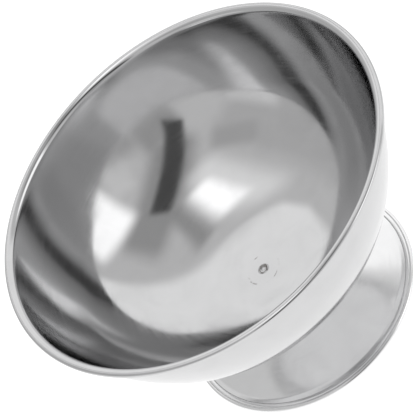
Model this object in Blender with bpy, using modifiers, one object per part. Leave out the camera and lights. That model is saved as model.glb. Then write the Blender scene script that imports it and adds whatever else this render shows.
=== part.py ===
"""Pedestal shaving mug in polished stainless steel.

Three pieces on one vertical axis: a deep pressed bowl with a rolled rim, a hollow
trumpet-shaped foot with a rolled base edge, and the spot weld that joins them.
Metres, +Z up, origin on the resting plane at the centre of the foot.
"""
import math

import bmesh
import bpy
from mathutils import Vector

MM = 0.001

# Driving dimensions
RIM_RADIUS = 52.5 * MM          # outside of the rolled rim
OVERALL_HEIGHT = 58.1 * MM      # resting plane to the top of the rim
SHEET = 0.6 * MM                # stainless sheet of the bowl and of the foot
GAP = 0.3 * MM                  # clearance kept between neighbouring solids

# Rolled edges, shared by the rim and by the base of the foot
HEM_HEIGHT = 1.4 * MM           # sheet, a narrow slit, and the sheet folded back under it
HEM_RADIUS = HEM_HEIGHT / 2

# Bowl: four arcs that run into each other, from the middle of the floor to the rim.
# Radii are those of the inner face; each slope is where that arc ends.
FLOOR_RADIUS = 140.0 * MM
FLOOR_SLOPE = math.radians(6)
HEEL_RADIUS = 42.0 * MM
HEEL_SLOPE = math.radians(26)
BODY_RADIUS = 33.2 * MM
BODY_SLOPE = math.radians(60)
WALL_RADIUS = 62.0 * MM
WALL_SLOPE = math.radians(79.1)
RIM_BEND = 1.6 * MM             # radius of the bend to the rim, on the face that shows
FLOOR_FLAT_RADIUS = 4.8 * MM    # pressed flat round the weld
RIM_HEM_END = 51.1 * MM         # radius where the folded-back sheet stops

# Foot: nests under the bowl, drops to a neck, flares like a trumpet to a flat flange
FOOT_RADIUS = 32.25 * MM
FLANGE_INNER_RADIUS = 29.3 * MM
FLARE_ANGLE = math.radians(24)  # slope of the flare where it leaves the flange
FLARE_REACH = 9.5 * MM          # length of the flare's lower handle
NECK_RADIUS = 12.5 * MM
NECK_HEIGHT = 14.6 * MM
NECK_REACH = 6.5 * MM           # length of the flare's upper handle
SHOULDER_BEND = 1.5 * MM
FOOT_HEM_END = 29.9 * MM         # radius where the folded-back sheet stops
FOOT_TOP_RADIUS = 8.0 * MM      # midway point on the dished top

# Spot weld through both sheets
WELD_RADIUS = 1.5 * MM
WELD_CRATER = 0.08 * MM         # how far the middle of the weld stands above its ring
WELD_PROUD = 0.05 * MM
WELD_BUTTON = 0.45              # parts of the weld's radius: its middle button,
WELD_RING = 0.7                 # the ring sunk round the button,
WELD_LIP = 0.92                 # the lip outside the ring,
WELD_BACK = 0.9                 # and the flat on its lower face

# Facets
STEPS_AROUND = 48
STEPS_WELD = 24
STEPS_HEM = 5
STEPS_BEND = 5
STEPS_FLARE = 11
STEPS_SHOULDER = 4
FACET_SLOPE = math.radians(6)   # turn of the bowl's section from one facet to the next
MERGE = 0.00001

# Finishes: colour and roughness
STEEL = (0.74, 0.74, 0.75, 1.0)
WELD_STEEL = (0.46, 0.44, 0.42, 1.0)
BOWL_ROUGHNESS = 0.14
FOOT_ROUGHNESS = 0.18
WELD_ROUGHNESS = 0.4


def clear_scene():
    """Start from an empty scene, without closing the file."""
    for obj in list(bpy.data.objects):
        bpy.data.objects.remove(obj, do_unlink=True)


def make_material(name, colour, roughness):
    """Bare metal with one colour and one roughness."""
    material = bpy.data.materials.new(name)
    material.use_nodes = True
    shader = material.node_tree.nodes["Principled BSDF"]
    shader.inputs["Base Color"].default_value = colour
    shader.inputs["Metallic"].default_value = 1.0
    shader.inputs["Roughness"].default_value = roughness
    return material


def arc(centre_r, centre_z, radius, start, end, steps):
    """Points on a circle in the r-z plane, angles in degrees from +r towards +z."""
    points = []
    for i in range(steps + 1):
        angle = math.radians(start + (end - start) * i / steps)
        r = centre_r + radius * math.cos(angle)
        z = centre_z + radius * math.sin(angle)
        points.append(Vector((r, z)))
    return points


def curve(start, handle_a, handle_b, end, steps):
    """Points on a cubic curve between two ends with two handles."""
    points = []
    for i in range(steps + 1):
        t = i / steps
        s = 1 - t
        points.append(start * s ** 3 + handle_a * 3 * s * s * t + handle_b * 3 * s * t * t + end * t ** 3)
    return points


def bowl_arcs():
    """Centre, inner radius, first and last slope of each arc, from the floor up to the rim."""
    spans = [
        (FLOOR_RADIUS, 0.0, FLOOR_SLOPE),
        (HEEL_RADIUS, FLOOR_SLOPE, HEEL_SLOPE),
        (BODY_RADIUS, HEEL_SLOPE, BODY_SLOPE),
        (WALL_RADIUS, BODY_SLOPE, WALL_SLOPE),
    ]
    arcs = []
    centre = Vector((0.0, 0.0))
    previous = FLOOR_RADIUS
    for radius, first, last in spans:
        centre = centre + outward(first) * (previous - radius)
        arcs.append((centre, radius, first, last))
        previous = radius
    # Lift the arcs so that the bend that follows the last one tops out at the rim.
    wall_end = centre + outward(WALL_SLOPE) * WALL_RADIUS
    bend_top = wall_end.y + RIM_BEND * (1 - math.cos(WALL_SLOPE))
    lift = Vector((0.0, OVERALL_HEIGHT - bend_top))
    return [(centre + lift, radius, first, last) for centre, radius, first, last in arcs]


def outward(slope):
    """Direction from an arc's centre to its face, where the face has this slope."""
    return Vector((math.sin(slope), -math.cos(slope)))


def bowl_height(r, offset):
    """Height of the floor at radius r, offset downwards from its inner face."""
    centre, radius, _, _ = bowl_arcs()[0]
    reach = radius + offset
    return centre.y - math.sqrt(reach * reach - r * r)


def bowl_wall(offset, facet):
    """Points down the bowl from the bend under the rim to the edge of the flat on the floor."""
    points = []
    for centre, radius, first, last in reversed(bowl_arcs()):
        reach = radius + offset
        first = max(first, math.asin(FLOOR_FLAT_RADIUS / reach))
        count = max(2, round((last - first) / facet))
        for i in range(1, count + 1):
            points.append(centre + outward(last + (first - last) * i / count) * reach)
    return points


def rolled_edge(outer_radius, top_z, hem_end):
    """Middle line of a folded edge, from the cut end underneath to the flat on top."""
    centre_r = outer_radius - HEM_RADIUS
    middle_radius = HEM_RADIUS - SHEET / 2
    low_z = top_z - HEM_HEIGHT + SHEET / 2
    points = [Vector((hem_end, low_z))]
    points += arc(centre_r, top_z - HEM_RADIUS, middle_radius, -90, 90, STEPS_HEM)
    return points


def sheet_section(line, thickness):
    """Close the outline of a sheet whose middle line is given, seen in the r-z plane."""
    left, right = [], []
    for i, point in enumerate(line):
        before = line[max(i - 1, 0)]
        after = line[min(i + 1, len(line) - 1)]
        along_in = (point - before).normalized() if point != before else None
        along_out = (after - point).normalized() if after != point else None
        along_in = along_in or along_out
        along_out = along_out or along_in
        along = (along_in + along_out).normalized()
        normal = Vector((-along.y, along.x))
        reach = thickness / 2 / max(0.5, along.dot(along_out))
        left.append(point + normal * reach)
        right.append(point - normal * reach)
    return left + right[::-1]


def make_object(name, outline, closed, steps, material, collection):
    """Turn an outline about the vertical axis into one closed solid."""
    mesh = bpy.data.meshes.new(name)
    obj = bpy.data.objects.new(name, mesh)
    collection.objects.link(obj)
    shape = bmesh.new()
    ring = [shape.verts.new((p.x, 0.0, p.y)) for p in outline]
    for a, b in zip(ring, ring[1:]):
        shape.edges.new((a, b))
    if closed:
        shape.edges.new((ring[-1], ring[0]))
    shape.to_mesh(mesh)
    shape.free()
    mesh.materials.append(material)

    screw = obj.modifiers.new("turned", "SCREW")
    screw.axis = "Z"
    screw.angle = math.tau
    screw.steps = steps
    screw.render_steps = steps
    screw.use_merge_vertices = True
    screw.merge_threshold = MERGE
    screw.use_smooth_shade = True
    weld = obj.modifiers.new("poles", "WELD")
    weld.merge_threshold = MERGE
    return obj


def make_bowl(material, collection):
    """Deep bowl pressed from sheet, rim bent outwards and rolled under, floor pierced for the weld."""
    middle = SHEET / 2
    wall_centre, wall_radius, _, slope = bowl_arcs()[-1]
    bend_centre = wall_centre + outward(slope) * (wall_radius + RIM_BEND)
    bend_end = 90 + math.degrees(slope)
    line = rolled_edge(RIM_RADIUS, OVERALL_HEIGHT, RIM_HEM_END)
    line += arc(bend_centre.x, bend_centre.y, RIM_BEND - middle, 90, bend_end, STEPS_BEND)
    line += bowl_wall(middle, FACET_SLOPE)
    line.append(Vector((WELD_RADIUS + GAP, line[-1].y)))
    outline = sheet_section(line, SHEET)
    return make_object("bowl", outline, True, STEPS_AROUND, material, collection)


def make_pedestal_foot(material, collection):
    """Hollow trumpet foot, open below, whose top is dished to nest against the bowl."""
    middle = SHEET / 2
    under_bowl = SHEET + GAP + middle
    flange_z = HEM_HEIGHT - middle
    line = rolled_edge(FOOT_RADIUS, HEM_HEIGHT, FOOT_HEM_END)

    base = Vector((FLANGE_INNER_RADIUS, flange_z))
    neck = Vector((NECK_RADIUS, NECK_HEIGHT))
    lower = base + Vector((-math.cos(FLARE_ANGLE), math.sin(FLARE_ANGLE))) * FLARE_REACH
    upper = neck - Vector((0.0, NECK_REACH))
    line += curve(base, lower, upper, neck, STEPS_FLARE)

    shoulder_r = NECK_RADIUS - SHOULDER_BEND
    shoulder_z = bowl_height(shoulder_r, under_bowl)
    line += arc(shoulder_r, shoulder_z - SHOULDER_BEND, SHOULDER_BEND, 0, 90, STEPS_SHOULDER)
    for r in (FOOT_TOP_RADIUS, FLOOR_FLAT_RADIUS):
        line.append(Vector((r, bowl_height(r, under_bowl))))
    line.append(Vector((WELD_RADIUS + GAP, line[-1].y)))
    outline = sheet_section(line, SHEET)
    return make_object("pedestal_foot", outline, True, STEPS_AROUND, material, collection)


def make_spot_weld(material, collection):
    """Fused button through the bowl's floor and the foot's top, dished on its upper face."""
    top = bowl_height(FLOOR_FLAT_RADIUS, 0.0) + WELD_PROUD
    bottom = bowl_height(FLOOR_FLAT_RADIUS, 2 * SHEET + GAP) - WELD_PROUD
    outline = [
        Vector((0.0, top)),
        Vector((WELD_RADIUS * WELD_BUTTON, top)),
        Vector((WELD_RADIUS * WELD_RING, top - WELD_CRATER)),
        Vector((WELD_RADIUS * WELD_LIP, top)),
        Vector((WELD_RADIUS, top - WELD_PROUD)),
        Vector((WELD_RADIUS, bottom + WELD_PROUD)),
        Vector((WELD_RADIUS * WELD_BACK, bottom)),
        Vector((0.0, bottom)),
    ]
    return make_object("spot_weld", outline, False, STEPS_WELD, material, collection)


def main():
    clear_scene()
    collection = bpy.data.collections.new("shaving_mug")
    bpy.context.scene.collection.children.link(collection)
    make_bowl(make_material("bowl_steel", STEEL, BOWL_ROUGHNESS), collection)
    make_pedestal_foot(make_material("foot_steel", STEEL, FOOT_ROUGHNESS), collection)
    make_spot_weld(make_material("weld_steel", WELD_STEEL, WELD_ROUGHNESS), collection)


main()
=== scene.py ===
"""Pedestal shaving mug in polished stainless steel: fine surfaces, finishes, studio and camera.

The bowl, the foot and the weld are turned from their sections at full resolution and stand
for the plain solids of the frame. Run as a script, it builds the whole scene.
"""
import math

import bmesh
import bpy
from bpy.props import FloatProperty, FloatVectorProperty, IntProperty, PointerProperty
from mathutils import Matrix, Vector


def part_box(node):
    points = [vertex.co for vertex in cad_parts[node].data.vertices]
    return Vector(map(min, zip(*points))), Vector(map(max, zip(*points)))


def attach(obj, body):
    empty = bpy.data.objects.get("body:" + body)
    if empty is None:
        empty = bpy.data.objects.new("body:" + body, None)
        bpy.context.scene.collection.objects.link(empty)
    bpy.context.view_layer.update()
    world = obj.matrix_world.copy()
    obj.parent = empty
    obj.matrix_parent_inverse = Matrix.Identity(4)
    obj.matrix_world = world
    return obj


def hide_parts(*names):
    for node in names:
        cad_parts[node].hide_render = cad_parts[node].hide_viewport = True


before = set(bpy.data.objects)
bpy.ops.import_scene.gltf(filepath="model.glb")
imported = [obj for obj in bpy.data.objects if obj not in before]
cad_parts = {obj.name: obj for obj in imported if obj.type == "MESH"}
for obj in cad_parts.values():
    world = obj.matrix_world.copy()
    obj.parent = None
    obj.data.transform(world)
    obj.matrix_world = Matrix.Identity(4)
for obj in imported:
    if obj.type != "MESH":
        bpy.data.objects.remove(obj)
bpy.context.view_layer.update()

bl_info = {
    "name": "Pedestal Shaving Mug",
    "version": (1, 0, 0),
    "blender": (4, 5, 0),
    "location": "3D View > Sidebar > Shaving Mug",
    "description": "Turns a steel shaving mug from its sections and sets it in a plain studio",
    "category": "Object",
}

MM = 0.001
WHITE = (1.0, 1.0, 1.0, 1.0)
NEAR_AXIS = 0.0001              # smallest length divided by, where a point lies on an axis

# The frame's own sizes: the solids' corners give every place below.
_, BOWL_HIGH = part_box("bowl")
_, FOOT_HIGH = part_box("pedestal_foot")
WELD_LOW, WELD_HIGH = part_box("spot_weld")
RIM_TOP = BOWL_HIGH.z
RIM_RADIUS = BOWL_HIGH.x
FOOT_RADIUS = FOOT_HIGH.x
WELD_RADIUS = (WELD_HIGH.x - WELD_LOW.x) / 2
WELD_CENTRE = (WELD_LOW + WELD_HIGH) / 2

# Facets of the turned sections.
EDGE_FACET = math.radians(9)    # round the folded edges and the foot's shoulder
BEND_FACET = math.radians(7)    # round the bend from the wall to the rim
WALL_FACET = 0.9 * MM           # along the bowl's arcs
FLARE_FACETS = 36
FOOT_TOP_FACETS = 8
WELD_STEPS = 64

# Fine details of the sections.
FOOT_GAP = 0.02 * MM            # the foot's top seats against the bowl
RIM_CUT = (0.16 * MM, 0.015 * MM)           # width and depth of each turning line
FLANGE_CUT = (0.4 * MM, 0.12 * MM)
FLANGE_INNER_CUT = (0.3 * MM, 0.04 * MM)
FLANGE_INNER_STEP = 1.1 * MM    # from the flange's turning line inwards to the fainter one
# Section of a turning line: share of its width from its middle, share of its depth.
CUT_SHAPE = ((0.5, 0.0), (0.25, 0.7), (0.0, 1.0), (-0.25, 0.7), (-0.5, 0.0))
WELD_FACE = (                   # share of the radius, share of the crater's depth
    (0.0, 0.0), (0.18, 0.05), (0.34, 0.4), (0.48, 1.0), (0.62, 0.9),
    (0.76, 0.2), (0.86, 0.0), (0.94, 0.2), (1.0, 0.7))
WELD_BASE = 0.9                 # share of the radius that is left under the weld's lower edge
MERGE_DISTANCE = 0.001 * MM
THIN_EDGE = 0.0001 * MM

# Patterns in the polish.
LINE_PITCH = 0.45 * MM          # fine polishing lines
LINE_DRIFT = 1.6                # how fast a line fades and returns round the axis
BROAD_PITCH = 3.0 * MM          # wider, softer lines
BROAD_DRIFT = 0.8
BROAD_DEPTH = 5                 # times as deep as the fine ones
WAVE_SIZE = 22 * MM
SMEAR_SIZE = 9 * MM
GRAIN_SIZE = 0.5 * MM
NOISE_SPAN = (0.3, 0.7)         # the part of a noise's range that shows
SMEAR_GLOSS_SPAN = (0.35, 0.75)
SMEAR_SHADE_SPAN = (0.3, 0.8)
SMEAR_ROUGHNESS = (0.85, 1.35)  # least and most, as shares of the mean roughness
SMEAR_SHADE = 0.95              # how dark a smear leaves the metal
LINE_ROUGHNESS = (-0.015, 0.02)
GRAIN_ROUGHNESS = (-0.008, 0.008)
PATCH_DIRECTION = (1.0, 0.7, -1.0)
BOWL_PATCHES = 0.0              # moves the patches, so that no two pieces carry the same ones
FOOT_PATCHES = 0.31
WELD_PATCHES = 0.9
WELD_POLISH = 0.22

# Marks of the weld.
MARK_RAGGED = (2.0 * MM, 0.35 * MM)         # size of the bumps in a mark's edge, and their reach
MARK_WIDTH = 0.3 * MM
MARK_GAPS = 1.6 * MM            # size of the gaps that break the pressed ring
MARK_GAPS_SPAN = (0.55, 0.68)
MARK_STRENGTH = 0.7
HEAT_RAGGED = (0.7 * MM, 0.5 * MM)
HEAT_INSIDE = (0.45 * MM, 0.75 * MM)        # where the oxide ring comes up
HEAT_OUTSIDE = (1.15 * MM, 1.45 * MM)       # where it dies away
HEAT_STRENGTH = 0.9

# Studio, in metres and degrees.
FLOOR_HALF = 6.0
FLOOR_COLOUR = (0.2, 0.2, 0.2, 1.0)
FLOOR_ROUGHNESS = 0.9
FLOOR_FALL = (-0.02, 0.09)      # behind the mug's axis, over which the floor's light falls off
HORIZON_FADE = (76, 86)         # from straight up, over which the low room takes over
HORIZON_SHARE = 0.9
SENSOR_WIDTH = 36.0
CLIP_START = 0.01


# ---------------------------------------------------------------- settings

class MugSizes(bpy.types.PropertyGroup):
    """Sizes of the mug's sections."""

    sheet: FloatProperty(
        name="Sheet", description="Thickness of the stainless sheet",
        default=0.6 * MM, unit="LENGTH")
    hem_height: FloatProperty(
        name="Hem height", description="Height of the rolled rim and of the rolled base edge",
        default=1.4 * MM, unit="LENGTH")
    rim_bend: FloatProperty(
        name="Rim bend", description="Radius of the bend from the wall to the rim",
        default=1.6 * MM, unit="LENGTH")
    rim_hem_end: FloatProperty(
        name="Rim hem end", description="Radius where the sheet folded under the rim stops",
        default=51.1 * MM, unit="LENGTH")
    floor_radius: FloatProperty(
        name="Floor arc", description="Radius of the arc across the bowl's floor",
        default=140.0 * MM, unit="LENGTH")
    floor_slope: FloatProperty(
        name="Floor slope", description="Slope where the floor's arc ends",
        default=math.radians(6), subtype="ANGLE")
    heel_radius: FloatProperty(
        name="Heel arc", description="Radius of the arc just outside the floor",
        default=42.0 * MM, unit="LENGTH")
    heel_slope: FloatProperty(
        name="Heel slope", description="Slope where the heel's arc ends",
        default=math.radians(26), subtype="ANGLE")
    body_radius: FloatProperty(
        name="Body arc", description="Radius of the arc that turns up into the wall",
        default=33.2 * MM, unit="LENGTH")
    body_slope: FloatProperty(
        name="Body slope", description="Slope where the body's arc ends",
        default=math.radians(60), subtype="ANGLE")
    wall_radius: FloatProperty(
        name="Wall arc", description="Radius of the arc up the wall",
        default=62.0 * MM, unit="LENGTH")
    wall_slope: FloatProperty(
        name="Wall slope", description="Slope of the wall where it meets the rim's bend",
        default=math.radians(79.1), subtype="ANGLE")
    rim_line: FloatProperty(
        name="Rim line", description="Radius of the fine turning line on the rim",
        default=51.70 * MM, unit="LENGTH")
    flange_line: FloatProperty(
        name="Flange line", description="Radius of the turning line that sets off the foot's bead",
        default=31.3 * MM, unit="LENGTH")
    press_mark_radius: FloatProperty(
        name="Press mark", description="Radius of the faint ring pressed round the weld",
        default=4.5 * MM, unit="LENGTH")
    flange_radius: FloatProperty(
        name="Flange inside", description="Radius where the foot's flat flange meets its flare",
        default=29.3 * MM, unit="LENGTH")
    foot_hem_end: FloatProperty(
        name="Foot hem end", description="Radius where the sheet folded under the flange stops",
        default=29.9 * MM, unit="LENGTH")
    flare_angle: FloatProperty(
        name="Flare angle", description="Slope of the flare where it leaves the flange",
        default=math.radians(24), subtype="ANGLE")
    flare_reach: FloatProperty(
        name="Flare reach", description="Length of the flare's lower handle",
        default=9.5 * MM, unit="LENGTH")
    neck_radius: FloatProperty(
        name="Neck radius", description="Radius of the foot's neck",
        default=12.5 * MM, unit="LENGTH")
    neck_height: FloatProperty(
        name="Neck height", description="Height where the flare becomes the straight neck",
        default=14.6 * MM, unit="LENGTH")
    neck_reach: FloatProperty(
        name="Neck reach", description="Length of the flare's upper handle",
        default=6.5 * MM, unit="LENGTH")
    shoulder_bend: FloatProperty(
        name="Shoulder bend", description="Radius of the bend from the neck to the foot's top",
        default=1.5 * MM, unit="LENGTH")
    weld_shift: FloatVectorProperty(
        name="Weld shift", description="How far the weld sits from the axis",
        default=(-1.3 * MM, -1.2 * MM, 0.0), size=3, unit="LENGTH")
    weld_crater: FloatProperty(
        name="Weld crater", description="Depth of the ring sunk in the weld's face",
        default=0.12 * MM, unit="LENGTH")
    steps: IntProperty(
        name="Steps around", description="Facets round each turned piece",
        default=288, min=48, max=360)


class MugFinish(bpy.types.PropertyGroup):
    """Colours and polish of the mug's metal."""

    steel: FloatVectorProperty(
        name="Steel", description="Colour of the polished steel",
        default=(0.60, 0.60, 0.605), size=3, subtype="COLOR")
    # Same steel as the bowl, painted brighter: a lit copy whose extra brightness stands in for the
    # light the foot catches.
    foot_steel: FloatVectorProperty(
        name="Foot steel", description="Colour of the foot's brighter steel",
        default=(0.85, 0.85, 0.855), size=3, subtype="COLOR")
    tint: FloatVectorProperty(
        name="Heat tint", description="Colour of the oxide ring round the weld",
        default=(0.20, 0.19, 0.18), size=3, subtype="COLOR")
    bowl_polish: FloatProperty(
        name="Bowl roughness", description="Mean roughness of the bowl",
        default=0.10, min=0.02, max=0.6)
    foot_polish: FloatProperty(
        name="Foot roughness", description="Mean roughness of the foot",
        default=0.17, min=0.02, max=0.6)
    line_depth: FloatProperty(
        name="Line depth", description="Depth of the polishing lines",
        default=0.0008 * MM, unit="LENGTH")
    wave_depth: FloatProperty(
        name="Wave depth", description="Depth of the slow waves left by pressing the sheet",
        default=0.012 * MM, unit="LENGTH")


class MugStudio(bpy.types.PropertyGroup):
    """Camera and light."""

    elevation: FloatProperty(
        name="Elevation", description="Height of the camera above the rim's plane",
        default=math.radians(42.19), subtype="ANGLE")
    distance: FloatProperty(
        name="Distance", description="From the middle of the rim to the camera",
        default=507.0 * MM, unit="LENGTH")
    roll: FloatProperty(
        name="Roll", description="Turn of the camera about its line of sight",
        default=math.radians(-44.18), subtype="ANGLE")
    lens: FloatProperty(
        name="Lens", description="Focal length in millimetres",
        default=185.3)
    aim_drop: FloatProperty(
        name="Aim drop", description="How far below the rim's plane the camera looks",
        default=10.97 * MM, unit="LENGTH")
    aim_side: FloatProperty(
        name="Aim side", description="How far to the side of the rim's middle the camera looks",
        default=-0.75 * MM, unit="LENGTH")
    floor_light: FloatProperty(
        name="Floor light", description="Brightness of the lit floor",
        default=1.0, min=0.0)
    back_light: FloatProperty(
        name="Back light",
        description="Brightness of the floor behind the mug, as the steel sees it",
        default=0.6, min=0.0)
    horizon_light: FloatProperty(
        name="Horizon light", description="Brightness of the room low down, all the way round",
        default=0.62, min=0.0)
    room_light: FloatProperty(
        name="Room light", description="Brightness of the room between the soft boxes",
        default=0.72, min=0.0)


def settings():
    """The three groups of settings kept with the scene."""
    scene = bpy.context.scene
    return scene.mug_sizes, scene.mug_finish, scene.mug_studio


# ---------------------------------------------------------------- sections

def arc(centre, radius, start, end, facet):
    """Points on a circle in the r-z plane, angles in radians from +r towards +z."""
    count = max(2, math.ceil(abs(end - start) / facet))
    points = []
    for i in range(count + 1):
        angle = start + (end - start) * i / count
        points.append(centre + Vector((math.cos(angle), math.sin(angle))) * radius)
    return points


def curve(start, handle_a, handle_b, end, count):
    """Points on a cubic curve between two ends with two handles."""
    points = []
    for i in range(count + 1):
        t = i / count
        s = 1 - t
        points.append(
            start * s ** 3 + handle_a * 3 * s * s * t + handle_b * 3 * s * t * t + end * t ** 3)
    return points


def outward(slope):
    """Direction from an arc's centre to its face, where the face has this slope."""
    return Vector((math.sin(slope), -math.cos(slope)))


def bowl_arcs(sizes):
    """Centre, inner radius, first and last slope of each arc, from the floor up to the rim."""
    spans = [
        (sizes.floor_radius, 0.0, sizes.floor_slope),
        (sizes.heel_radius, sizes.floor_slope, sizes.heel_slope),
        (sizes.body_radius, sizes.heel_slope, sizes.body_slope),
        (sizes.wall_radius, sizes.body_slope, sizes.wall_slope),
    ]
    arcs = []
    centre = Vector((0.0, 0.0))
    previous = sizes.floor_radius
    for radius, first, last in spans:
        centre = centre + outward(first) * (previous - radius)
        arcs.append((centre, radius, first, last))
        previous = radius
    wall_end = centre + outward(sizes.wall_slope) * sizes.wall_radius
    bend_top = wall_end.y + sizes.rim_bend * (1 - math.cos(sizes.wall_slope))
    lift = Vector((0.0, RIM_TOP - bend_top))
    return [(centre + lift, radius, first, last) for centre, radius, first, last in arcs]


def bowl_height(sizes, r, offset):
    """Height of the floor at radius r, offset downwards from its inner face."""
    centre, radius, _, _ = bowl_arcs(sizes)[0]
    reach = radius + offset
    return centre.y - math.sqrt(reach * reach - r * r)


def rolled_edge(sizes, outer_radius, top, hem_end):
    """Middle line of a folded edge, from the cut end underneath to the flat on top."""
    half = sizes.hem_height / 2
    middle = sizes.sheet / 2
    centre = Vector((outer_radius - half, top - half))
    points = [Vector((hem_end, top - sizes.hem_height + middle))]
    points += arc(centre, half - middle, -math.pi / 2, math.pi / 2, EDGE_FACET)
    return points


def groove(points, r, cut):
    """Cut a fine turning line into the last flat of a section that runs inwards."""
    width, depth = cut
    z = points[-1].y
    for across, down in CUT_SHAPE:
        points.append(Vector((r + across * width, z - down * depth)))


def bowl_line(sizes):
    """Middle line of the bowl's sheet, from the cut end under the rim to the floor's middle."""
    middle = sizes.sheet / 2
    arcs = bowl_arcs(sizes)
    wall_centre, wall_radius, _, slope = arcs[-1]
    bend_centre = wall_centre + outward(slope) * (wall_radius + sizes.rim_bend)
    line = rolled_edge(sizes, RIM_RADIUS, RIM_TOP, sizes.rim_hem_end)
    groove(line, sizes.rim_line, RIM_CUT)
    quarter = math.pi / 2
    line += arc(bend_centre, sizes.rim_bend - middle, quarter, quarter + slope, BEND_FACET)
    for centre, radius, first, last in reversed(arcs):
        reach = radius + middle
        count = math.ceil((last - first) * reach / WALL_FACET)
        for i in range(1, count + 1):
            line.append(centre + outward(last + (first - last) * i / count) * reach)
    return line


def foot_line(sizes):
    """Middle line of the foot's sheet, from the cut end under the flange to its top's middle."""
    middle = sizes.sheet / 2
    line = rolled_edge(sizes, FOOT_RADIUS, sizes.hem_height, sizes.foot_hem_end)
    groove(line, sizes.flange_line, FLANGE_CUT)
    groove(line, sizes.flange_line - FLANGE_INNER_STEP, FLANGE_INNER_CUT)
    base = Vector((sizes.flange_radius, sizes.hem_height - middle))
    neck = Vector((sizes.neck_radius, sizes.neck_height))
    rise = Vector((-math.cos(sizes.flare_angle), math.sin(sizes.flare_angle)))
    lower = base + rise * sizes.flare_reach
    upper = neck - Vector((0.0, sizes.neck_reach))
    line += curve(base, lower, upper, neck, FLARE_FACETS)
    under_bowl = sizes.sheet + FOOT_GAP + middle
    shoulder_r = sizes.neck_radius - sizes.shoulder_bend
    shoulder_z = bowl_height(sizes, shoulder_r, under_bowl)
    centre = Vector((shoulder_r, shoulder_z - sizes.shoulder_bend))
    line += arc(centre, sizes.shoulder_bend, 0.0, math.pi / 2, EDGE_FACET)
    for i in range(1, FOOT_TOP_FACETS + 1):
        r = shoulder_r * (1 - i / FOOT_TOP_FACETS)
        line.append(Vector((r, bowl_height(sizes, r, under_bowl))))
    return line


def weld_line(sizes):
    """Outline of the weld's button, from the middle of its face to the middle of its back."""
    top, low = WELD_HIGH.z, WELD_LOW.z
    crater = sizes.weld_crater
    line = [Vector((WELD_RADIUS * part, top - crater * depth)) for part, depth in WELD_FACE]
    line += [Vector((WELD_RADIUS, low + crater)), Vector((WELD_RADIUS * WELD_BASE, low)),
             Vector((0.0, low))]
    return line


# ---------------------------------------------------------------- solids

def turn(name, line, steps, centre=(0.0, 0.0, 0.0)):
    """Spin a section's points about a vertical axis into a smooth mesh."""
    shape = bmesh.new()
    ring = [shape.verts.new((centre[0] + point.x, centre[1], point.y)) for point in line]
    edges = [shape.edges.new(pair) for pair in zip(ring, ring[1:])]
    bmesh.ops.spin(
        shape, geom=ring + edges, cent=(centre[0], centre[1], 0.0), axis=(0.0, 0.0, 1.0),
        angle=math.tau, steps=steps, use_merge=True)
    bmesh.ops.remove_doubles(shape, verts=shape.verts, dist=MERGE_DISTANCE)
    bmesh.ops.dissolve_degenerate(shape, dist=THIN_EDGE, edges=shape.edges)
    bmesh.ops.recalc_face_normals(shape, faces=shape.faces)
    return add_object(name, shape, smooth=True)


def add_object(name, shape, smooth=False):
    """Put a finished shape into the scene as an object."""
    mesh = bpy.data.meshes.new(name)
    shape.to_mesh(mesh)
    shape.free()
    if smooth:
        mesh.shade_smooth()
    obj = bpy.data.objects.new(name, mesh)
    bpy.context.scene.collection.objects.link(obj)
    return obj


def thicken(obj, thickness):
    """Give an open sheet its wall, half to each side of its middle line."""
    wall = obj.modifiers.new("sheet", "SOLIDIFY")
    wall.thickness = thickness
    wall.offset = 0.0
    wall.use_even_offset = True
    wall.use_quality_normals = True
    return obj


def finish_piece(obj, node, material):
    """Hand a piece to the frame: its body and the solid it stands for."""
    obj.data.materials.append(material)
    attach(obj, "root")
    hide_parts(node)


# ---------------------------------------------------------------- finishes

class Nodes:
    """Small helper that adds and links the nodes of one tree."""

    def __init__(self, tree):
        self.tree = tree

    def add(self, kind, **values):
        node = self.tree.nodes.new(kind)
        for key, value in values.items():
            setattr(node, key, value)
        return node

    def link(self, source, target):
        self.tree.links.new(source, target)

    def coordinates(self, output="Object"):
        return self.add("ShaderNodeTexCoord").outputs[output]

    def split(self, vector):
        node = self.add("ShaderNodeSeparateXYZ")
        self.link(vector, node.inputs[0])
        return node.outputs

    def shift(self, vector, offset):
        node = self.add("ShaderNodeMapping")
        node.inputs["Location"].default_value = offset
        self.link(vector, node.inputs["Vector"])
        return node.outputs[0]

    def math(self, operation, a, b=None):
        node = self.add("ShaderNodeMath", operation=operation)
        for socket, value in zip(node.inputs, (a, b)):
            if value is not None:
                self.put(value, socket)
        return node.outputs[0]

    def put(self, value, socket):
        """Set a socket to a number or link it to another node."""
        if isinstance(value, (int, float)):
            socket.default_value = value
        else:
            self.link(value, socket)

    def hypot(self, x, y):
        squares = self.math("MULTIPLY", x, x), self.math("MULTIPLY", y, y)
        return self.math("SQRT", self.math("ADD", *squares))

    def spread(self, value, low, high, to_low, to_high):
        """Map one span of a value smoothly to another."""
        node = self.add("ShaderNodeMapRange", interpolation_type="SMOOTHSTEP")
        self.link(value, node.inputs["Value"])
        spans = {"From Min": low, "From Max": high, "To Min": to_low, "To Max": to_high}
        for key, number in spans.items():
            node.inputs[key].default_value = number
        return node.outputs["Result"]

    def blend(self, factor, a, b, label=""):
        """Number that goes from a to b with the factor."""
        node = self.add("ShaderNodeMix", data_type="FLOAT", label=label)
        self.link(factor, node.inputs["Factor"])
        self.put(a, node.inputs["A"])
        self.put(b, node.inputs["B"])
        return node.outputs["Result"]


def turned_coordinates(nodes, place):
    """Radius, height and the two parts of the direction round the axis, all seamless."""
    x, y, z = nodes.split(place)
    radius = nodes.hypot(x, y)
    safe = nodes.math("MAXIMUM", radius, NEAR_AXIS)
    return radius, z, nodes.math("DIVIDE", x, safe), nodes.math("DIVIDE", y, safe)


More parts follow.
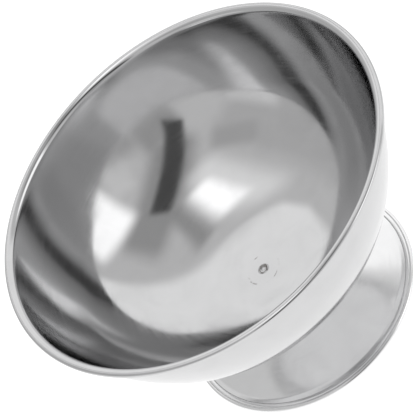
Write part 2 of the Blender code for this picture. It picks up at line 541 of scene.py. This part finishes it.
def ring_noise(nodes, turned, pitch, drift, detail=2.0):
    """Noise drawn out into rings round the axis: pitch across the rings, drift along them."""
    radius, height, across, along = turned
    vector = nodes.add("ShaderNodeCombineXYZ")
    nodes.link(nodes.math("MULTIPLY", radius, 1 / pitch), vector.inputs[0])
    nodes.link(nodes.math("MULTIPLY", height, 1 / pitch), vector.inputs[1])
    nodes.link(nodes.math("MULTIPLY", across, drift), vector.inputs[2])
    noise = nodes.add("ShaderNodeTexNoise", noise_dimensions="4D")
    nodes.link(vector.outputs[0], noise.inputs["Vector"])
    nodes.link(nodes.math("MULTIPLY", along, drift), noise.inputs["W"])
    noise.inputs["Scale"].default_value = 1.0
    noise.inputs["Detail"].default_value = detail
    return noise.outputs["Fac"]


def cloud(nodes, place, size, detail=2.0, distortion=0.0):
    """Plain noise whose patches are about this size."""
    noise = nodes.add("ShaderNodeTexNoise")
    nodes.link(place, noise.inputs["Vector"])
    noise.inputs["Scale"].default_value = 1 / size
    noise.inputs["Detail"].default_value = detail
    noise.inputs["Distortion"].default_value = distortion
    return noise.outputs["Fac"]


def distance_from(nodes, centre):
    """Distance from a vertical axis through this centre."""
    moved = nodes.shift(nodes.coordinates(), (-centre[0], -centre[1], 0.0))
    flat = nodes.add("ShaderNodeVectorMath", operation="MULTIPLY")
    nodes.link(moved, flat.inputs[0])
    flat.inputs[1].default_value = (1.0, 1.0, 0.0)
    length = nodes.add("ShaderNodeVectorMath", operation="LENGTH")
    nodes.link(flat.outputs[0], length.inputs[0])
    return length.outputs["Value"]


def ragged(nodes, distance, unevenness):
    """Make the edge of a round mark uneven."""
    size, amount = unevenness
    noise = nodes.math("SUBTRACT", cloud(nodes, nodes.coordinates(), size), 0.5)
    return nodes.math("ADD", distance, nodes.math("MULTIPLY", noise, amount * 2))


def tinted(nodes, mask, before, colour):
    """Colour that goes from the one before, a colour or a link, to this one with the mask."""
    mix = nodes.add("ShaderNodeMix", data_type="RGBA")
    nodes.link(mask, mix.inputs["Factor"])
    if isinstance(before, bpy.types.NodeSocket):
        nodes.link(before, mix.inputs["A"])
    else:
        mix.inputs["A"].default_value = (*before, 1.0)
    mix.inputs["B"].default_value = (*colour, 1.0)
    return mix.outputs["Result"]


def bump(nodes, height, distance, before=None):
    """Tilt the surface by a height, on top of the tilt before it."""
    node = nodes.add("ShaderNodeBump")
    node.inputs["Strength"].default_value = 1.0
    node.inputs["Distance"].default_value = distance
    nodes.link(height, node.inputs["Height"])
    if before is not None:
        nodes.link(before, node.inputs["Normal"])
    return node.outputs["Normal"]


def steel(name, finish, colour, roughness, patches):
    """Polished stainless: concentric polishing lines, slow press waves, soft smears."""
    material = bpy.data.materials.new(name)
    material.use_nodes = True
    nodes = Nodes(material.node_tree)
    shader = material.node_tree.nodes["Principled BSDF"]
    shader.inputs["Metallic"].default_value = 1.0
    place = nodes.coordinates()
    turned = turned_coordinates(nodes, place)
    patch = nodes.shift(place, Vector(PATCH_DIRECTION) * patches)

    lines = ring_noise(nodes, turned, LINE_PITCH, LINE_DRIFT)
    broad = ring_noise(nodes, turned, BROAD_PITCH, BROAD_DRIFT, detail=1.0)
    waves = cloud(nodes, patch, WAVE_SIZE, detail=1.0)
    smear = cloud(nodes, patch, SMEAR_SIZE, detail=4.0, distortion=0.6)
    grain = cloud(nodes, patch, GRAIN_SIZE)

    normal = bump(nodes, waves, finish.wave_depth)
    normal = bump(nodes, broad, finish.line_depth * BROAD_DEPTH, normal)
    normal = bump(nodes, lines, finish.line_depth, normal)
    nodes.link(normal, shader.inputs["Normal"])

    least, most = SMEAR_ROUGHNESS
    rough = nodes.spread(smear, *SMEAR_GLOSS_SPAN, roughness * least, roughness * most)
    rough = nodes.math("ADD", rough, nodes.spread(lines, *NOISE_SPAN, *LINE_ROUGHNESS))
    rough = nodes.math("ADD", rough, nodes.spread(grain, *NOISE_SPAN, *GRAIN_ROUGHNESS))
    nodes.link(rough, shader.inputs["Roughness"])

    dull = [channel * SMEAR_SHADE for channel in colour]
    shade = tinted(nodes, nodes.spread(smear, *SMEAR_SHADE_SPAN, 0.0, 1.0), colour, dull)
    nodes.link(shade, shader.inputs["Base Color"])
    return material, nodes, shader, shade


# ---------------------------------------------------------------- operators

class MUG_OT_bowl(bpy.types.Operator):
    """Deep bowl with its rolled rim"""

    bl_idname = "mug.bowl"
    bl_label = "Bowl"

    def execute(self, context):
        sizes, finish, _ = settings()
        obj = thicken(turn("bowl_shell", bowl_line(sizes), sizes.steps), sizes.sheet)
        material, nodes, shader, shade = steel(
            "bowl_polished_steel", finish, finish.steel, finish.bowl_polish, BOWL_PATCHES)
        centre = WELD_CENTRE + Vector(sizes.weld_shift)
        reach = ragged(nodes, distance_from(nodes, centre), MARK_RAGGED)
        off_ring = nodes.math("ABSOLUTE", nodes.math("SUBTRACT", reach, sizes.press_mark_radius))
        mark = nodes.spread(off_ring, 0.0, MARK_WIDTH, 1.0, 0.0)
        gaps = cloud(nodes, nodes.coordinates(), MARK_GAPS)
        broken = nodes.spread(gaps, *MARK_GAPS_SPAN, 0.0, MARK_STRENGTH)
        stain = tinted(nodes, nodes.math("MULTIPLY", mark, broken), shade, finish.tint)
        nodes.link(stain, shader.inputs["Base Color"])
        finish_piece(obj, "bowl", material)
        return {"FINISHED"}


class MUG_OT_foot(bpy.types.Operator):
    """Hollow trumpet foot with its rolled base edge"""

    bl_idname = "mug.foot"
    bl_label = "Foot"

    def execute(self, context):
        sizes, finish, _ = settings()
        obj = thicken(turn("pedestal_foot_shell", foot_line(sizes), sizes.steps), sizes.sheet)
        # The foot's base colour is the bowl's steel painted brighter, standing in for the light on
        # the foot.
        material, *_ = steel(
            "foot_polished_steel", finish, finish.foot_steel, finish.foot_polish, FOOT_PATCHES)
        finish_piece(obj, "pedestal_foot", material)
        return {"FINISHED"}


class MUG_OT_weld(bpy.types.Operator):
    """Spot weld that joins the bowl to the foot"""

    bl_idname = "mug.weld"
    bl_label = "Spot weld"

    def execute(self, context):
        sizes, finish, _ = settings()
        centre = WELD_CENTRE + Vector(sizes.weld_shift)
        obj = turn("spot_weld_button", weld_line(sizes), WELD_STEPS, centre)
        material, nodes, shader, shade = steel(
            "weld_tinted_steel", finish, finish.steel, WELD_POLISH, WELD_PATCHES)
        reach = ragged(nodes, distance_from(nodes, centre), HEAT_RAGGED)
        ring = nodes.math(
            "MULTIPLY", nodes.spread(reach, *HEAT_INSIDE, 0.0, 1.0),
            nodes.spread(reach, *HEAT_OUTSIDE, HEAT_STRENGTH, 0.0))
        nodes.link(tinted(nodes, ring, shade, finish.tint), shader.inputs["Base Color"])
        finish_piece(obj, "spot_weld", material)
        return {"FINISHED"}


def add_floor(studio):
    """Wide pale floor under the foot; the camera sees it evenly lit."""
    shape = bmesh.new()
    bmesh.ops.create_grid(shape, x_segments=1, y_segments=1, size=FLOOR_HALF)
    floor = add_object("floor", shape)
    material = bpy.data.materials.new("pale_floor")
    material.use_nodes = True
    nodes = Nodes(material.node_tree)
    shader = material.node_tree.nodes["Principled BSDF"]
    shader.inputs["Base Color"].default_value = FLOOR_COLOUR
    shader.inputs["Roughness"].default_value = FLOOR_ROUGHNESS
    shader.inputs["Emission Color"].default_value = WHITE
    behind = nodes.split(nodes.coordinates())["Y"]
    glow = nodes.spread(behind, *FLOOR_FALL, studio.floor_light, studio.back_light)
    seen = nodes.add("ShaderNodeLightPath").outputs["Is Camera Ray"]
    nodes.link(nodes.blend(seen, glow, studio.floor_light), shader.inputs["Emission Strength"])
    floor.data.materials.append(material)


# Soft boxes and dark gaps round the mug, laid out on a chart of the sky: the middle is straight
# up, a place's distance from the middle is its angle from straight up in degrees, and its
# direction there is its direction in plan. Each has its middle, its turn, half its width and
# height, the softness of its edge, and its brightness. Later ones cover earlier ones.
PANELS = [
    ("left_wall", -62, 20, 0, 30, 60, 16, 0.60),
    ("left_window", -70, -25, 10, 8, 20, 12, 0.85),
    ("left_shade", -36, -22, 35, 8, 15, 10, 0.52),
    ("near_wall", 25, -82, 0, 18, 8, 12, 0.42),
    ("near_left_wall", -12, -76, 0, 18, 12, 10, 0.45),
    ("near_window", 34, -60, 0, 10, 9, 10, 0.82),
    ("far_wall", 50, 50, -25, 55, 35, 7, 1.12),
    ("far_wall_end", 2, 66, 8, 17, 30, 7, 1.12),
    ("camera_shade", 13, -31, 46, 38, 16, 14, 0.42),
    ("overhead_shade", 10, 4, 10, 4, 18, 6, 0.40),
    ("camera_strip", -2, -44, 48, 33, 7.5, 5, 0.09),
    ("overhead_glow", -12, 1, 6, 9, 26, 14, 1.05),
    ("overhead_box", -4, 2, 8, 6, 15, 8, 1.75),
    ("right_box", 64, -42, 32, 20, 26, 12, 1.65),
]


def panel_mask(nodes, chart_x, chart_y, middle, turned, halves, soft):
    """1 inside a turned rectangle on the sky's chart, 0 outside, with a soft edge."""
    angle = math.radians(turned)
    across = nodes.math("SUBTRACT", chart_x, middle[0])
    along = nodes.math("SUBTRACT", chart_y, middle[1])
    sides = []
    for a, b, half in ((math.cos(angle), math.sin(angle), halves[0]),
                       (-math.sin(angle), math.cos(angle), halves[1])):
        parts = nodes.math("MULTIPLY", across, a), nodes.math("MULTIPLY", along, b)
        reach = nodes.math("ABSOLUTE", nodes.math("ADD", *parts))
        sides.append(nodes.spread(reach, half - soft / 2, half + soft / 2, 1.0, 0.0))
    return nodes.math("MULTIPLY", *sides)


def studio_world(studio):
    """Room light with soft boxes and gaps; the camera itself sees a plain white room."""
    world = bpy.data.worlds.new("studio")
    bpy.context.scene.world = world
    world.use_nodes = True
    nodes = Nodes(world.node_tree)
    background = world.node_tree.nodes["Background"]
    background.inputs["Color"].default_value = WHITE
    x, y, z = nodes.split(nodes.coordinates("Generated"))
    zenith = nodes.math("DEGREES", nodes.math("ARCCOSINE", z))
    plan = nodes.math("MAXIMUM", nodes.hypot(x, y), NEAR_AXIS)
    scale = nodes.math("DIVIDE", zenith, plan)
    chart_x, chart_y = nodes.math("MULTIPLY", x, scale), nodes.math("MULTIPLY", y, scale)
    level = studio.room_light
    for name, middle_x, middle_y, turned, half_width, half_height, soft, light in PANELS:
        mask = panel_mask(nodes, chart_x, chart_y, (middle_x, middle_y), turned,
                          (half_width, half_height), soft)
        level = nodes.blend(mask, level, light, label=name)
    low = nodes.spread(zenith, *HORIZON_FADE, 0.0, HORIZON_SHARE)
    level = nodes.blend(low, level, studio.horizon_light, label="horizon")
    seen = nodes.add("ShaderNodeLightPath").outputs["Is Camera Ray"]
    nodes.link(nodes.blend(seen, level, 1.0), background.inputs["Strength"])


def add_camera(studio):
    """Long lens from above the near side of the rim, rolled so that the mug leans."""
    data = bpy.data.cameras.new("camera")
    data.lens = studio.lens
    data.sensor_width = SENSOR_WIDTH
    data.clip_start = CLIP_START
    camera = bpy.data.objects.new("camera", data)
    bpy.context.scene.collection.objects.link(camera)
    rim = Vector((0.0, 0.0, RIM_TOP))
    away = Vector((0.0, -math.cos(studio.elevation), math.sin(studio.elevation)))
    place = rim + away * studio.distance
    aim = rim + Vector((studio.aim_side, 0.0, -studio.aim_drop))
    forward = (aim - place).normalized()
    right = forward.cross(Vector((0.0, 0.0, 1.0))).normalized()
    up = right.cross(forward)
    turned = Matrix.Rotation(-studio.roll, 3, forward)
    right, up = turned @ right, turned @ up
    basis = Matrix((right, up, -forward)).transposed()
    camera.matrix_world = Matrix.Translation(place) @ basis.to_4x4()
    bpy.context.scene.camera = camera


class MUG_OT_stage(bpy.types.Operator):
    """Floor, soft studio light and camera"""

    bl_idname = "mug.stage"
    bl_label = "Stage"

    def execute(self, context):
        _, _, studio = settings()
        add_floor(studio)
        studio_world(studio)
        add_camera(studio)
        context.scene.view_settings.view_transform = "Standard"
        return {"FINISHED"}


class MUG_PT_panel(bpy.types.Panel):
    """Lists the mug's pieces and its settings"""

    bl_idname = "MUG_PT_panel"
    bl_label = "Shaving Mug"
    bl_space_type = "VIEW_3D"
    bl_region_type = "UI"
    bl_category = "Shaving Mug"

    def draw(self, context):
        column = self.layout.column()
        for operator in OPERATORS:
            column.operator(operator.bl_idname)
        for group in settings():
            for key in group.bl_rna.properties.keys():
                if key not in ("name", "rna_type"):
                    column.prop(group, key)


GROUPS = {"mug_sizes": MugSizes, "mug_finish": MugFinish, "mug_studio": MugStudio}
OPERATORS = (MUG_OT_bowl, MUG_OT_foot, MUG_OT_weld, MUG_OT_stage)


def register():
    """Add the settings, the operators and the panel."""
    for group in GROUPS.values():
        bpy.utils.register_class(group)
    for name, group in GROUPS.items():
        setattr(bpy.types.Scene, name, PointerProperty(type=group))
    for cls in OPERATORS + (MUG_PT_panel,):
        bpy.utils.register_class(cls)


def unregister():
    """Take them out again."""
    for cls in (MUG_PT_panel,) + OPERATORS[::-1]:
        bpy.utils.unregister_class(cls)
    for name, group in GROUPS.items():
        delattr(bpy.types.Scene, name)
        bpy.utils.unregister_class(group)


def main():
    """Register the add-on and build everything: the stage first, then the bowl, the foot and the
    weld.
    """
    register()
    bpy.ops.mug.stage()
    bpy.ops.mug.bowl()
    bpy.ops.mug.foot()
    bpy.ops.mug.weld()


if __name__ == "__main__":
    main()
